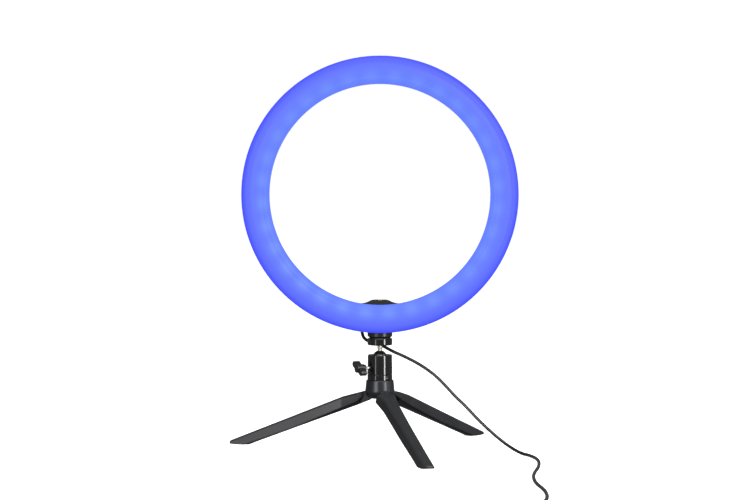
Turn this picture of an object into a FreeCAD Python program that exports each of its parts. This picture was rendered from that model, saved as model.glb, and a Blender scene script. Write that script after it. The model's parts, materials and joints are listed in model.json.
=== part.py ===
"""Ring light on a folding mini tripod, in millimetres.

The origin is on the floor under the tripod's vertical axis. +Z is up, the ring's lit face looks along -Y.
The legs, the clamp knob and the cord are drawn where they are when the light stands ready for use.
"""

import FreeCAD, Part
import math
import os

V = FreeCAD.Vector
UP = V(0, 0, 1)
RING_AXIS = V(0, 1, 0)

# ---- Ring: radii about its own axis, depths along Y (minus is the lit side) ----
RING_Z = 240.0
RING_OUTER = 130.0
RING_INNER = 103.7
SKIN = 1.6
DIFFUSER_BASE = -9.0
DIFFUSER_SHOULDER = -13.5
DIFFUSER_FACE = -19.5
DIFFUSER_CROWN = -21.0
DIFFUSER_CORNER = 7.0
SHELL_BACK = 6.0
SHELL_WALL = 2.0
LIP_CLEARANCE = 0.2
LIP_DEPTH = 2.0
BOARD_FRONT = -1.0
BOARD_BACK = 0.6
BOARD_INNER = 107.8
BOARD_OUTER = 124.4
LED_COUNT = 32
LED_RADIUS = 111.0
LED_FIRST = 4.25
LED_SIDE = 5.0
LED_HEIGHT = 1.6
LED_WINDOW = 2.1
SHELL_SCREWS = 8
SHELL_SCREW_RADIUS = 121.0
SHELL_SCREW_FIRST = 22.5

# ---- Small screws, shared by the ring, the block, the hub and the controller ----
HEAD_RADIUS = 2.2
HEAD_HEIGHT = 1.6
SHANK_RADIUS = 1.2
THREAD_HOLE = 1.25
PASS_HOLE = 1.4
RECESS_HALF = 0.35
RECESS_DEPTH = 0.9

# ---- Mount block behind the foot of the ring ----
BLOCK_BOTTOM = 115.0
BLOCK_HALF = 24.0
BLOCK_DEPTH = 14.0
BELL_TOP = 139.9
BELL_FOOT = 136.3
BELL_SHOULDER = 20.0
BELL_FLAT = 5.2
COVER_THICK = 2.0
CAVITY_HALF = 18.0
CAVITY_LOW = 118.0
CAVITY_HIGH = 130.0
CAVITY_FLOOR = 2.0
BLOCK_SCREW_X = 10.0
BLOCK_SCREW_Z = 122.0
WIRE_HOLE_Z = 126.0
COVER_SCREW_X = 21.0
COVER_SCREW_Z = (121.0, 129.5)
BOSS_RADIUS = 11.7
BOSS_NECK = 9.9
BOSS_BOTTOM = 105.05
BOSS_CHAMFER = 1.4
BOSS_TOP = 120.0
TRIPOD_INSERT_RADIUS = 4.0
TRIPOD_INSERT_LENGTH = 5.2
PHONE_INSERT_Y = 13.0
PHONE_INSERT_LENGTH = 8.0
PHONE_INSERT_PROUD = 0.4
PHONE_INSERT_RADIUS = 3.0
PHONE_THREAD_RADIUS = 2.0
RELIEF_X = -17.2
RELIEF_Y = 14.0
RELIEF_BOTTOM = 113.3

# ---- Quarter-inch studs and threads ----
STUD_RADIUS = 3.17
STUD_HOLE = 3.25

# ---- Ball head ----
BALL_Z = 85.9
BALL_RADIUS = 7.0
CUP_RADIUS = 7.3
HOUSING_TOP = 88.8
HOUSING_BOTTOM = 70.2
HOUSING_RADIUS = 11.5
HOUSING_FOOT_RADIUS = 11.8
MOUTH_RADIUS = 8.3
MOUTH_THROAT = 6.9
SEAM = 0.45
SPIGOT_TOP = 72.1
PLATFORM_BOTTOM = 97.9
PLATFORM_TOP = 104.3
PLATFORM_RADIUS = 11.7
PLATFORM_ROUND = 1.0
PLATFORM_SOLE = 97.2
PLATFORM_SOLE_RADIUS = 4.4
PAD_RADIUS = 10.0
STEM_BOTTOM = 85.1
STEM_RADIUS = 2.1
NECK_Z = 93.4
NECK_RADIUS = 1.8
COLLAR_RADIUS = 2.35
STUD_TOP = 110.0
SEAT_OUTER = 7.2
SEAT_INNER = 3.4
SEAT_BOTTOM = 78.8
SEAT_TOP = 82.0
CLAMP_Z = 76.5
CLAMP_AZIMUTH = 207.0
WEDGE_RADIUS = 1.9
WEDGE_POCKET = 1.95
WEDGE_POCKET_END = 8.6
WEDGE_START = 1.6
WEDGE_CONE_END = 3.4
WEDGE_END = 7.4
CLAMP_SCREW_RADIUS = 1.4
CLAMP_SCREW_HOLE = 1.45
CLAMP_SCREW_START = 7.5
KNOB_START = 15.6
KNOB_END = 25.0
KNOB_HUB = 4.0
WING_START = 18.4
WING_END = 24.2
WING_HALF = 8.0
WING_ROUND = 2.8
WING_TURN = -27.0
GRUB_Z = 67.8
GRUB_AZIMUTH = -55.0
GRUB_RADIUS = 1.2
GRUB_LENGTH = 3.0

# ---- Tripod hub and legs ----
HUB_TOP = 64.8
HUB_TOP_RADIUS = 13.0
HUB_WAIST_Z = 54.5
HUB_WAIST_RADIUS = 14.0
HUB_BOTTOM = 47.3
HUB_FLAT = 7.0
TRIPOD_STUD_BOTTOM = 56.0
TRIPOD_STUD_TOP = 70.7
PIVOT_R = 8.5
PIVOT_Z = 52.5
PIN_RADIUS = 1.25
PIN_HOLE = 1.3
PIN_HALF = 6.5
TONGUE_HALF = 3.4
SLOT_HALF = 3.6
SLOT_REACH = 2.3
SLOT_ROOF = 55.3
KNUCKLE_RADIUS = 5.0
KNUCKLE_CLEAR = 5.3
CAP_SCREW_R = 9.0
CAP_SCREW_SEAT = 49.8
FRONT_LEG_AZIMUTH = -73.3
LEG_AZIMUTHS = {
    "front": FRONT_LEG_AZIMUTH,
    "right": FRONT_LEG_AZIMUTH + 120.0,
    "left": FRONT_LEG_AZIMUTH + 240.0,
}
KINK_R = 36.0
KINK_Z = 48.1
NOSE_R = 14.6
NOSE_Z = 54.0
TIP_R = 148.6
TIP_Z = 2.7
TIP_SOLE = 0.6
TIP_ROUND = 1.3
TIP_CROWN = 1.5
TOE_R = 141.3
HEEL_R = 129.0
SHOULDER_R = 18.8
SHOULDER_Z = 41.8
LIP_THICK = 0.9
LIP_OVERHANG = 1.5
EDGE_DROP = 1.3
EDGE_INSET = 1.6
CREASE_RISE = 0.35
CORE_BOTTOM_HALF = 3.5
CORE_CROWN = 2.6
CORE_CROWN_INSET = 2.2
# station radius, half width under the rounded top edges, half width over the lips, drop from top to lip
LEG_STATIONS = (
    (NOSE_R, 3.1, 3.5, 2.5),
    (19.5, 9.0, 10.3, 6.2),
    (KINK_R, 6.3, 7.4, 9.0),
    (85.0, 5.2, 6.1, 10.0),
    (TIP_R, 5.1, 5.9, 7.5),
)

# ---- Cord, with the route's points where it isn't coiled ----
CORD_DIAMETER = 3.0
CORD_RADIUS = CORD_DIAMETER / 2
FLOOR_Z = CORD_RADIUS
LANDING_START = (116.5, -32.0, 8.2)
LANDING_END = (129.0, -46.5, FLOOR_Z)
LANDING = tuple((a + b) / 2 for a, b in zip(LANDING_START, LANDING_END))
DROP_ROUTE = (
    (RELIEF_X, RELIEF_Y, RELIEF_BOTTOM),
    (RELIEF_X, RELIEF_Y, 106.8),
    (-13.4, 15.4, 101.2),
    (-6.0, 17.2, 98.7),
    (2.6, 17.2, 96.1),
    (12.0, 15.8, 90.6),
    (22.4, 13.0, 86.5),
    (37.4, 9.2, 79.1),
    (51.2, 5.0, 69.9),
    (62.2, 0.5, 59.3),
    (71.1, -2.5, 49.4),
    (80.5, -6.5, 40.9),
    (92.0, -13.5, 28.9),
    (104.0, -21.5, 17.9),
    LANDING_START,
    LANDING,
)
FLOOR_ROUTE = (
    LANDING,
    LANDING_END,
    (137.5, -62.5, FLOOR_Z),
    (142.5, -92.0, FLOOR_Z),
    (139.0, -134.0, FLOOR_Z),
    (129.5, -180.0, FLOOR_Z),
    (127.0, -226.0, FLOOR_Z),
    (132.0, -270.0, FLOOR_Z),
    (130.0, -312.0, FLOOR_Z),
    (119.5, -346.0, FLOOR_Z),
    (119.0, -378.0, FLOOR_Z),
    (115.0, -401.0, FLOOR_Z),
    (101.0, -414.0, 2.6),
    (88.0, -415.0, 5.5),
)
COIL_X = -42.0
COIL_Y = -425.0
COIL_INNER = 10.5
COIL_OUTER = 22.5
COIL_LOW = 0.8
COIL_HIGH = 11.6
COIL_EDGE = 2.6
LEAD_ROUTE = (
    (2.0, -415.0, 5.5),
    (-8.0, -414.4, 3.6),
    (-18.0, -411.4, 2.3),
    (-27.0, -408.0, 2.3),
)
TAIL_ROUTE = (
    (-49.5, -404.4, 6.6),
    (-57.5, -406.2, 4.8),
    (-67.0, -409.2, 3.9),
    (-77.0, -410.5, 3.9),
)
TIE_WIDTH = 8.0
TIE_THICK = 0.7
TIE_AZIMUTH = -90.0

# ---- Inline controller ----
CONTROL_LEFT = 10.0
CONTROL_RIGHT = 80.0
CONTROL_Y = -415.0
CONTROL_HALF_WIDTH = 10.5
CONTROL_HEIGHT = 11.0
CONTROL_SPLIT = 5.5
CONTROL_WALL = 1.5
CONTROL_ROUND = 2.0
CONTROL_POST = 3.4
CONTROL_BOARD_Z = 4.2
CONTROL_BOARD_THICK = 1.2
BUSH_LENGTH = 8.0
BUTTONS = {
    "button_power": 63.0,
    "button_colour": 51.0,
    "button_brighter": 39.0,
    "button_dimmer": 27.0,
}
BUTTON_HALF_X = 4.0
BUTTON_HALF_Y = 2.6
BUTTON_GAP = 0.25
BUTTON_TOP = 12.0
BUTTON_SKIRT = 9.2
BUTTON_FLANGE = 0.7
BUTTON_STEM = 1.2
SWITCH_TOP = 7.4
SWITCH_HALF = 2.2
PLUNGER_TOP = 7.9
BUTTON_TRAVEL_GAP = 0.7

# ---- USB plug at the end of the cord ----
GRIP_RIGHT = -77.0
GRIP_LENGTH = 21.0
GRIP_HALF_WIDTH = 7.8
GRIP_HEIGHT = 7.8
USB_LENGTH = 13.0
USB_HALF_WIDTH = 6.0
USB_HALF_HEIGHT = 2.25
USB_SKIN = 0.35
USB_Y = -410.5
USB_Z = GRIP_HEIGHT / 2


# ---------------------------------------------------------------- helpers
def save(name, shape):
    """Write one sub-part, checked to be made of closed valid solids."""
    if not shape.isValid() or not shape.Solids:
        raise RuntimeError(name + " is not a valid solid")
    shape.exportStep("parts/" + name + ".step")


def group(shapes):
    """Separate solids that share one node."""
    return Part.makeCompound(shapes)


def rod(radius, start, end):
    """Round bar between two points."""
    way = end - start
    return Part.makeCylinder(radius, way.Length, start, way)


def box(low, high):
    """Box between two opposite corners."""
    return Part.makeBox(high[0] - low[0], high[1] - low[1], high[2] - low[2], V(*low))


def polygon(points):
    """Closed flat face through the points."""
    return Part.Face(Part.makePolygon(list(points) + [points[0]]))


def line(start, end):
    """Straight edge."""
    return Part.makeLine(start, end)


def arc(start, middle, end):
    """Arc through three points."""
    return Part.Arc(start, middle, end).toShape()


def turned(points):
    """Solid turned about the Z axis from (radius, z) corners."""
    return polygon([V(r, 0, z) for r, z in points]).revolve(V(), UP, 360)


def ring_point(radius, y):
    """Point in the half plane that is turned about the ring's axis."""
    return V(radius, y, RING_Z)


def turned_ring(edges):
    """Solid turned about the ring's axis from a closed loop of edges."""
    return Part.Face(Part.Wire(edges)).revolve(V(0, 0, RING_Z), RING_AXIS, 360)


def ring_polygon(points):
    """Solid turned about the ring's axis from (radius, y) corners."""
    return polygon([ring_point(r, y) for r, y in points]).revolve(V(0, 0, RING_Z), RING_AXIS, 360)


def around_ring(count, first, radius, y):
    """Points evenly spaced round the ring at one depth."""
    found = []
    for k in range(count):
        angle = math.radians(first + k * 360.0 / count)
        found.append(V(radius * math.cos(angle), y, RING_Z + radius * math.sin(angle)))
    return found


def pan_screw(seat, direction, length):
    """Small pan-head screw with a cross recess, its head on the seat and its shank against the direction."""
    out = V(direction).normalize()
    top = seat + out * HEAD_HEIGHT
    screw = rod(HEAD_RADIUS, seat, top).fuse(rod(SHANK_RADIUS, seat, seat - out * length))
    side = out.cross(V(0.3, 0.5, 0.8)).normalize()
    for across in (side, out.cross(side)):
        along = out.cross(across)
        corners = []
        for a, b in ((1, 1), (1, -1), (-1, -1), (-1, 1)):
            corners.append(top + across * (a * HEAD_RADIUS * 0.65) + along * (b * RECESS_HALF))
        screw = screw.cut(polygon(corners).extrude(out * -RECESS_DEPTH))
    return screw.removeSplitter()


# ---------------------------------------------------------------- ring
def crowned_ring(inner, outer, base, shoulder, face, crown, corner):
    """Ring with a gently domed front and rounded edges."""
    bend = corner * (1 - math.cos(math.pi / 4))
    drop = (face - shoulder) * math.sin(math.pi / 4)
    middle = (inner + outer) / 2
    edges = [
        line(ring_point(outer, base), ring_point(outer, shoulder)),
        arc(ring_point(outer, shoulder), ring_point(outer - bend, shoulder + drop),
            ring_point(outer - corner, face)),
        arc(ring_point(outer - corner, face), ring_point(middle, crown), ring_point(inner + corner, face)),
        arc(ring_point(inner + corner, face), ring_point(inner + bend, shoulder + drop),
            ring_point(inner, shoulder)),
        line(ring_point(inner, shoulder), ring_point(inner, base)),
        line(ring_point(inner, base), ring_point(outer, base)),
    ]
    return turned_ring(edges)


def diffuser_outside():
    """Outer form of the diffuser, filled."""
    return crowned_ring(RING_INNER, RING_OUTER, DIFFUSER_BASE, DIFFUSER_SHOULDER,
                        DIFFUSER_FACE, DIFFUSER_CROWN, DIFFUSER_CORNER)


def make_diffuser():
    """Milky cover with eight hidden posts for the shell's screws."""
    hollow = crowned_ring(RING_INNER + SKIN, RING_OUTER - SKIN, DIFFUSER_BASE + 1, DIFFUSER_SHOULDER,
                          DIFFUSER_FACE + SKIN, DIFFUSER_CROWN + SKIN, DIFFUSER_CORNER - 1)
    diffuser = diffuser_outside().cut(hollow)
    ends = around_ring(SHELL_SCREWS, SHELL_SCREW_FIRST, SHELL_SCREW_RADIUS, DIFFUSER_FACE)
    for end in ends:
        foot = V(end.x, BOARD_FRONT, end.z)
        diffuser = diffuser.fuse(rod(HEAD_RADIUS + 0.3, foot, end))
    for end in ends:
        foot = V(end.x, BOARD_FRONT, end.z)
        diffuser = diffuser.cut(rod(THREAD_HOLE, foot, V(end.x, DIFFUSER_BASE - 1, end.z)))
    return diffuser


def shell_outside():
    """Outer form of the rear shell, filled: drafted walls, rounded back edges."""
    p = ring_point
    edges = [
        line(p(RING_OUTER, DIFFUSER_BASE), p(129.2, -2.0)),
        line(p(129.2, -2.0), p(126.5, 3.5)),
        arc(p(126.5, 3.5), p(125.2, 5.2), p(122.5, SHELL_BACK)),
        line(p(122.5, SHELL_BACK), p(109.5, SHELL_BACK)),
        arc(p(109.5, SHELL_BACK), p(107.0, 5.3), p(105.6, 3.5)),
        line(p(105.6, 3.5), p(104.4, -2.0)),
        line(p(104.4, -2.0), p(RING_INNER, DIFFUSER_BASE)),
        line(p(RING_INNER, DIFFUSER_BASE), p(RING_OUTER, DIFFUSER_BASE)),
    ]
    return turned_ring(edges)


def make_rear_shell():
    """Black ABS back with a locating lip, screw posts, wire hole and the block's screw posts."""
    inside_back = SHELL_BACK - SHELL_WALL
    hollow = ring_polygon([(128.0, -10.0), (128.0, DIFFUSER_BASE), (127.2, -2.4), (124.9, 2.3),
                           (121.9, inside_back),
                           (110.1, inside_back), (107.4, 2.3), (106.4, -2.4), (105.7,
                                                                               DIFFUSER_BASE),
                                                                               (105.7, -10.0)])
    shell = shell_outside().cut(hollow)
    lip_outer = RING_OUTER - SKIN - LIP_CLEARANCE
    shell = shell.fuse(ring_polygon([(lip_outer, DIFFUSER_BASE - LIP_DEPTH), (lip_outer, DIFFUSER_BASE + 3),
                                     (lip_outer - 1.4, DIFFUSER_BASE + 3), (lip_outer - 1.4,
                                                                            DIFFUSER_BASE - LIP_DEPTH)]))
    seats = around_ring(SHELL_SCREWS, SHELL_SCREW_FIRST, SHELL_SCREW_RADIUS, SHELL_BACK)
    for seat in seats:
        shell = shell.fuse(rod(HEAD_RADIUS + 1.0, V(seat.x, BOARD_BACK, seat.z),
                               V(seat.x, SHELL_BACK - 0.5, seat.z)))
    for seat in seats:
        bottom = V(seat.x, SHELL_BACK - 3, seat.z)
        shell = shell.cut(rod(HEAD_RADIUS + 0.3, bottom, V(seat.x, SHELL_BACK + 1, seat.z)))
        shell = shell.cut(rod(PASS_HOLE, V(seat.x, BOARD_BACK - 1, seat.z), bottom))
    for x in (-BLOCK_SCREW_X, BLOCK_SCREW_X):
        post = rod(HEAD_RADIUS + 0.6, V(x, BOARD_BACK + 0.6, BLOCK_SCREW_Z),
                   V(x, SHELL_BACK - 0.5, BLOCK_SCREW_Z))
        shell = shell.fuse(post)
        shell = shell.cut(rod(THREAD_HOLE, V(x, BOARD_BACK, BLOCK_SCREW_Z),
                              V(x, SHELL_BACK + 1, BLOCK_SCREW_Z)))
    return shell.cut(rod(2.6, V(0, 0, WIRE_HOLE_Z), V(0, SHELL_BACK + 1, WIRE_HOLE_Z)))


def make_led_board():
    """Ring circuit board with holes where the screws pass."""
    board = ring_polygon([(BOARD_INNER, BOARD_FRONT), (BOARD_OUTER, BOARD_FRONT),
                          (BOARD_OUTER, BOARD_BACK), (BOARD_INNER, BOARD_BACK)])
    for seat in around_ring(SHELL_SCREWS, SHELL_SCREW_FIRST, SHELL_SCREW_RADIUS, BOARD_FRONT - 1):
        board = board.cut(rod(PASS_HOLE, seat, V(seat.x, BOARD_BACK + 1, seat.z)))
    return board


def make_leds():
    """Square LED packages, each with a shallow round window, turned to face outwards evenly."""
    front = BOARD_FRONT - LED_HEIGHT
    half = LED_SIDE / 2
    leds = []
    for k, centre in enumerate(around_ring(LED_COUNT, LED_FIRST, LED_RADIUS, front)):
        led = box((centre.x - half, front, centre.z - half), (centre.x + half, BOARD_FRONT, centre.z + half))
        led = led.cut(rod(LED_WINDOW, V(centre.x, front - 1, centre.z), V(centre.x, front + 0.3, centre.z)))
        led.rotate(centre, RING_AXIS, -(LED_FIRST + k * 360.0 / LED_COUNT))
        leds.append(led)
    return group(leds)


def make_shell_screws():
    """Eight screws from the back, through the shell and the board into the diffuser's posts."""
    seats = around_ring(SHELL_SCREWS, SHELL_SCREW_FIRST, SHELL_SCREW_RADIUS, SHELL_BACK - 3)
    return group([pan_screw(seat, RING_AXIS, 11.0) for seat in seats])


# ---------------------------------------------------------------- mount block
def bell_face(y):
    """Outline of the block and its cover: a box with a bell-shaped top, in a plane of constant Y."""
    def p(x, z):
        return V(x, y, z)

    def shoulder(side):
        curve = Part.BezierCurve()
        curve.setPoles([p(side * BELL_FLAT, BELL_TOP), p(side * BELL_FLAT * 2, BELL_TOP),
                        p(side * BELL_FLAT * 2, BELL_FOOT), p(side * BELL_SHOULDER, BELL_FOOT)])
        return curve.toShape()

    low = BLOCK_BOTTOM
    cut = 4.0
    edges = [
        line(p(-BLOCK_HALF + cut, low), p(BLOCK_HALF - cut, low)),
        line(p(BLOCK_HALF - cut, low), p(BLOCK_HALF, low + cut)),
        line(p(BLOCK_HALF, low + cut), p(BLOCK_HALF, BELL_FOOT - cut)),
        line(p(BLOCK_HALF, BELL_FOOT - cut), p(BELL_SHOULDER, BELL_FOOT)),
        shoulder(1),
        line(p(BELL_FLAT, BELL_TOP), p(-BELL_FLAT, BELL_TOP)),
        shoulder(-1),
        line(p(-BELL_SHOULDER, BELL_FOOT), p(-BLOCK_HALF, BELL_FOOT - cut)),
        line(p(-BLOCK_HALF, BELL_FOOT - cut), p(-BLOCK_HALF, low + cut)),
        line(p(-BLOCK_HALF, low + cut), p(-BLOCK_HALF + cut, low)),
    ]
    return Part.Face(Part.Wire(Part.__sortEdges__(edges)))


def make_mount_block():
    """Block behind the ring with the round boss under it, hollow for the driver board."""
    back = SHELL_BACK + BLOCK_DEPTH
    block = bell_face(SHELL_BACK).extrude(V(0, BLOCK_DEPTH, 0))
    boss = turned([(0, BOSS_BOTTOM), (BOSS_NECK, BOSS_BOTTOM), (BOSS_RADIUS, BOSS_BOTTOM + BOSS_CHAMFER),
                   (BOSS_RADIUS, BOSS_TOP), (0, BOSS_TOP)])
    boss = boss.cut(diffuser_outside()).cut(shell_outside())
    pieces = boss.cut(box((-20, -20, RING_Z - RING_OUTER + 3), (20, SHELL_BACK, BOSS_TOP + 1)))
    block = block.fuse(pieces)
    floor = SHELL_BACK + CAVITY_FLOOR
    block = block.cut(box((-CAVITY_HALF, floor, CAVITY_LOW), (CAVITY_HALF, back + 1, CAVITY_HIGH)))
    for x in (-13.5, 13.5):
        block = block.fuse(rod(1.6, V(x, floor - 0.5, 127.0), V(x, 12.0, 127.0)))
    for x in (-BLOCK_SCREW_X, BLOCK_SCREW_X):
        block = block.cut(rod(PASS_HOLE, V(x, SHELL_BACK - 1, BLOCK_SCREW_Z),
                              V(x, floor + 1, BLOCK_SCREW_Z)))
    block = block.cut(rod(2.6, V(0, SHELL_BACK - 1, WIRE_HOLE_Z), V(0, floor + 1, WIRE_HOLE_Z)))
    for x in (-COVER_SCREW_X, COVER_SCREW_X):
        for z in COVER_SCREW_Z:
            block = block.cut(rod(THREAD_HOLE, V(x, back - 8, z), V(x, back + 1, z)))
    top = V(0, PHONE_INSERT_Y, BELL_TOP)
    depth = PHONE_INSERT_LENGTH - PHONE_INSERT_PROUD
    block = block.cut(rod(PHONE_INSERT_RADIUS, top - UP * depth, top + UP))
    stud_top = V(0, 0, BOSS_BOTTOM + TRIPOD_INSERT_LENGTH)
    block = block.cut(rod(TRIPOD_INSERT_RADIUS, V(0, 0, BOSS_BOTTOM - 1), stud_top))
    return block.cut(rod(2.4, V(RELIEF_X, RELIEF_Y, BLOCK_BOTTOM - 1),
                         V(RELIEF_X, RELIEF_Y, CAVITY_LOW + 1)))


def make_block_cover():
    """Back plate of the block with a softened outer edge and four screw holes."""
    back = SHELL_BACK + BLOCK_DEPTH
    cover = bell_face(back).extrude(V(0, COVER_THICK, 0))
    rim = [e for e in cover.Edges if e.BoundBox.YMin > back + COVER_THICK - 0.01]
    cover = cover.makeChamfer(0.8, rim)
    for x in (-COVER_SCREW_X, COVER_SCREW_X):
        for z in COVER_SCREW_Z:
            cover = cover.cut(rod(PASS_HOLE, V(x, back - 1, z), V(x, back + COVER_THICK + 1, z)))
    return cover


def make_cover_screws():
    """Four screws that hold the block's cover."""
    seat_y = SHELL_BACK + BLOCK_DEPTH + COVER_THICK
    screws = []
    for x in (-COVER_SCREW_X, COVER_SCREW_X):
        for z in COVER_SCREW_Z:
            screws.append(pan_screw(V(x, seat_y, z), RING_AXIS, 8.0))
    return group(screws)


def make_block_screws():
    """Two screws inside the block that hold it to the shell."""
    seat_y = SHELL_BACK + CAVITY_FLOOR
    return group([pan_screw(V(x, seat_y, BLOCK_SCREW_Z), RING_AXIS, 6.0) for x in (-BLOCK_SCREW_X,
                                                                                   BLOCK_SCREW_X)])


def make_insert(radius, base, length, hole):
    """Brass thread insert with a pair of grooves."""
    insert = rod(radius, base, base + UP * length)
    for share in (0.35, 0.7):
        low = base + UP * (length * share)
        groove = rod(radius + 1, low, low + UP * 0.6).cut(rod(radius - 0.4, low, low + UP * 0.6))
        insert = insert.cut(groove)
    return insert.cut(rod(hole, base - UP, base + UP * (length + 1)))


def make_driver_board():
    """Small board on two posts, with a chip, a coil and two capacitors soldered on."""
    board = box((-15.0, 12.0, 119.5), (15.0, 13.4, 129.0))
    parts = [
        box((-3.0, 13.4, 121.5), (3.0, 15.0, 126.5)),
        rod(2.6, V(9.5, 13.4, 124.0), V(9.5, 17.6, 124.0)),
        rod(2.0, V(-9.0, 13.4, 126.0), V(-9.0, 18.2, 126.0)),
        rod(2.0, V(-9.0, 13.4, 121.8), V(-9.0, 16.6, 121.8)),
    ]
    for part in parts:
        board = board.fuse(part)
    return board.removeSplitter()


def make_led_leads():
    """Four short wires from the driver board through the shell to the ring board."""
    wires = []
    for x in (-1.2, 1.2):
        for z in (WIRE_HOLE_Z - 1.2, WIRE_HOLE_Z + 1.2):
            wires.append(rod(0.7, V(x, BOARD_BACK, z), V(x, 12.0, z)))
    return group(wires)


def make_cord_relief():
    """Tapered, ribbed bush that the cord leaves the block through."""
    rib = RELIEF_BOTTOM + 0.5
    collar = rib + 0.3
    profile = [(0, RELIEF_BOTTOM), (2.1, RELIEF_BOTTOM), (2.4, rib), (2.0, rib), (2.0, collar),
               (3.2, collar),
               (3.2, BLOCK_BOTTOM), (2.4, BLOCK_BOTTOM), (2.4, CAVITY_LOW), (0, CAVITY_LOW)]
    relief = turned(profile)
    relief.translate(V(RELIEF_X, RELIEF_Y, 0))
    return relief


# ---------------------------------------------------------------- ball head
def make_platform():
    """Disc under the light, rounded at its lower edge, with a shallow cone for a sole."""
    mid = PLATFORM_ROUND * (1 - math.sqrt(0.5))
    corner = V(PLATFORM_RADIUS - PLATFORM_ROUND, 0, PLATFORM_BOTTOM)
    side = V(PLATFORM_RADIUS, 0, PLATFORM_BOTTOM + PLATFORM_ROUND)
    sole = V(PLATFORM_SOLE_RADIUS, 0, PLATFORM_SOLE)
    edges = [
        line(V(STUD_RADIUS, 0, PLATFORM_SOLE), sole),
        line(sole, corner),
        arc(corner, V(PLATFORM_RADIUS - mid, 0, PLATFORM_BOTTOM + mid), side),
        line(side, V(PLATFORM_RADIUS, 0, PLATFORM_TOP - 0.4)),
        line(V(PLATFORM_RADIUS, 0, PLATFORM_TOP - 0.4), V(PLATFORM_RADIUS - 0.4, 0, PLATFORM_TOP)),
        line(V(PLATFORM_RADIUS - 0.4, 0, PLATFORM_TOP), V(STUD_RADIUS, 0, PLATFORM_TOP)),
        line(V(STUD_RADIUS, 0, PLATFORM_TOP), V(STUD_RADIUS, 0, PLATFORM_SOLE)),
    ]
    return Part.Face(Part.Wire(edges)).revolve(V(), UP, 360)


def make_platform_pad():
    """Thin rubber ring between the platform and the light's boss."""
    return rod(PAD_RADIUS, V(0, 0, PLATFORM_TOP), V(0, 0, BOSS_BOTTOM)).cut(
        rod(STUD_HOLE, V(0, 0, PLATFORM_TOP - 1), V(0, 0, BOSS_BOTTOM + 1)))


def make_ball_stem():
    """Plated stem: a shank in the ball, a groove, a collar, and the quarter-inch stud."""
    profile = [(0, STEM_BOTTOM), (STEM_RADIUS, STEM_BOTTOM), (STEM_RADIUS, NECK_Z),
               (NECK_RADIUS, NECK_Z + 0.3), (NECK_RADIUS, NECK_Z + 0.7), (COLLAR_RADIUS, NECK_Z + 1.1),
               (COLLAR_RADIUS, PLATFORM_SOLE), (STUD_RADIUS, PLATFORM_SOLE), (STUD_RADIUS, STUD_TOP - 0.6),
               (STUD_RADIUS - 0.6, STUD_TOP), (0, STUD_TOP)]
    return turned(profile)


def make_ball():
    """Ball, drilled for the stem."""
    ball = Part.makeSphere(BALL_RADIUS, V(0, 0, BALL_Z))
    return ball.cut(rod(STEM_RADIUS, V(0, 0, STEM_BOTTOM), V(0, 0, BALL_Z + BALL_RADIUS + 1)))


def cup_height(radius, cup):
    """Height of a sphere about the ball's centre, below it, at a radius from the axis."""
    return BALL_Z - math.sqrt(cup * cup - radius * radius)


def make_ball_seat():
    """Nylon ring that the ball turns on."""
    lip = 6.2
    middle = (SEAT_INNER + lip) / 2
    edges = [
        arc(V(SEAT_INNER, 0, cup_height(SEAT_INNER, CUP_RADIUS)),
            V(middle, 0, cup_height(middle, CUP_RADIUS)),
            V(lip, 0, cup_height(lip, CUP_RADIUS))),
        line(V(lip, 0, cup_height(lip, CUP_RADIUS)), V(SEAT_OUTER, 0, SEAT_TOP)),
        line(V(SEAT_OUTER, 0, SEAT_TOP), V(SEAT_OUTER, 0, SEAT_BOTTOM)),
        line(V(SEAT_OUTER, 0, SEAT_BOTTOM), V(SEAT_INNER, 0, SEAT_BOTTOM)),
        line(V(SEAT_INNER, 0, SEAT_BOTTOM), V(SEAT_INNER, 0, cup_height(SEAT_INNER, CUP_RADIUS))),
    ]
    return Part.Face(Part.Wire(edges)).revolve(V(), UP, 360)


def clamp_point(distance, turn=0.0, offset=0.0):
    """Point on or near the clamp screw's axis: distance from the tripod's axis, offset square to it."""
    azimuth = math.radians(CLAMP_AZIMUTH)
    out = V(math.cos(azimuth), math.sin(azimuth), 0)
    side = V(-out.y, out.x, 0)
    lean = math.radians(turn)
    return out * distance + side * (offset * math.cos(lean)) + UP * (CLAMP_Z + offset * math.sin(lean))


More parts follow.
